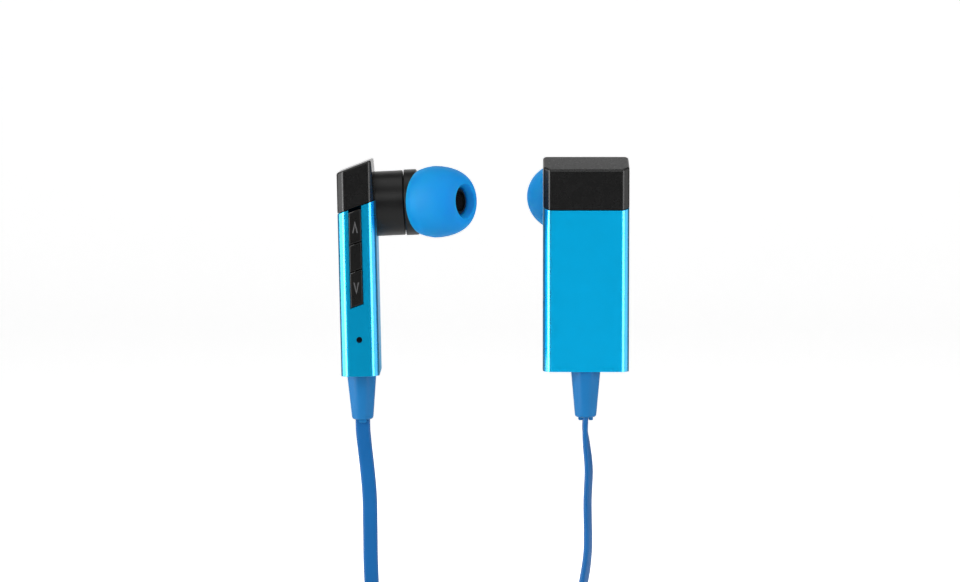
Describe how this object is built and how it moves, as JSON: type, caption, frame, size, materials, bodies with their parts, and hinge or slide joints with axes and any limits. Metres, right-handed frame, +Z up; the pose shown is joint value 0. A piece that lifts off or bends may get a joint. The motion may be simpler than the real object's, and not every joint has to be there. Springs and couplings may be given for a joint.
{
  "type": "neckband earphones",
  "caption": "Wireless in-ear earphones joined by a flat neck cable: slim blue metal casings, black slanted caps, angled nozzles with soft ear tips and a press-key strip.",
  "frame": {"origin": "centre of the right ear tip's mouth, where the ear holds the part", "axes": "+Z up with the earpieces hanging upright, +X from the right earpiece towards the left one, +Y away from the side that shows the keys"},
  "size_m": [0.0535, 0.0326, 0.1578],
  "materials": {
    "anodised_sleeve": "anodised blue with polished chamfers",
    "cap_plastic": "fine satin, black",
    "housing_plastic": "satin, black",
    "key_plastic": "satin, black, with raised marks",
    "tip_silicone": "soft matte blue",
    "relief_elastomer": "moulded blue",
    "cable_elastomer": "smooth blue with a soft sheen",
    "plug_plastic": "black",
    "carrier_plastic": "moulded, dark grey",
    "mesh_steel": "woven wire",
    "basket_plastic": "moulded, grey",
    "magnet_nickel": "nickel plated",
    "diaphragm_film": "thin translucent film with a copper coil",
    "board_laminate": "green solder mask",
    "switch_steel": "stamped",
    "microphone_boot": "capsule in a black rubber boot",
    "antenna_strip": "stamped",
    "battery_foil": "laminated foil pouch",
    "socket_steel": "folded shell",
    "tie_fabric": "woven hook-and-loop band, black"
  },
  "bodies": {
    "earphones": {"right_sleeve": "anodised_sleeve", "right_cap": "cap_plastic", "right_end_plug": "plug_plastic", "right_strain_relief": "relief_elastomer", "right_carrier": "carrier_plastic", "right_speaker_housing": "housing_plastic", "right_nozzle": "housing_plastic", "right_nozzle_mesh": "mesh_steel", "right_driver_basket": "basket_plastic", "right_driver_magnet": "magnet_nickel", "right_cable_run": "cable_elastomer", "left_sleeve": "anodised_sleeve", "left_cap": "cap_plastic", "left_end_plug": "plug_plastic", "left_strain_relief": "relief_elastomer", "left_carrier": "carrier_plastic", "left_speaker_housing": "housing_plastic", "left_nozzle": "housing_plastic", "left_nozzle_mesh": "mesh_steel", "left_driver_basket": "basket_plastic", "left_driver_magnet": "magnet_nickel", "left_cable_run": "cable_elastomer", "main_board": "board_laminate", "tact_switches": "switch_steel", "microphone": "microphone_boot", "antenna": "antenna_strip", "battery": "battery_foil", "charging_board": "board_laminate", "charging_port": "socket_steel", "cable_hank": "cable_elastomer", "hank_tie": "tie_fabric"},
    "volume_up": {"volume_up_key": "key_plastic"},
    "call": {"call_key": "key_plastic"},
    "volume_down": {"volume_down_key": "key_plastic"},
    "right_tip": {"right_ear_tip": "tip_silicone"},
    "left_tip": {"left_ear_tip": "tip_silicone"},
    "right_cone": {"right_diaphragm": "diaphragm_film"},
    "left_cone": {"left_diaphragm": "diaphragm_film"}
  },
  "joints": [
    {"name": "volume_up_press", "type": "slide", "parent": "earphones", "child": "volume_up", "axis": [0, 1, 0], "range_m": [0, 0.00025], "stiffness_N_per_m": 800, "springref_m": -0.00025},
    {"name": "call_press", "type": "slide", "parent": "earphones", "child": "call", "axis": [0, 1, 0], "range_m": [0, 0.00025], "stiffness_N_per_m": 800, "springref_m": -0.00025},
    {"name": "volume_down_press", "type": "slide", "parent": "earphones", "child": "volume_down", "axis": [0, 1, 0], "range_m": [0, 0.00025], "stiffness_N_per_m": 800, "springref_m": -0.00025},
    {"name": "right_tip_pull", "type": "slide", "parent": "earphones", "child": "right_tip", "axis": [0.8377, -0.5446, 0.0395], "range_m": [0, 0.009]},
    {"name": "left_tip_pull", "type": "slide", "parent": "earphones", "child": "left_tip", "axis": [-0.5446, 0.8384, 0.022], "range_m": [0, 0.009]},
    {"name": "right_cone_stroke", "type": "slide", "parent": "earphones", "child": "right_cone", "axis": [0.9989, 0, 0.0471], "range_m": [-0.00015, 0.00015], "stiffness_N_per_m": 60},
    {"name": "left_cone_stroke", "type": "slide", "parent": "earphones", "child": "left_cone", "axis": [0, 0.9997, 0.0262], "range_m": [-0.00015, 0.00015], "stiffness_N_per_m": 60}
  ]
}
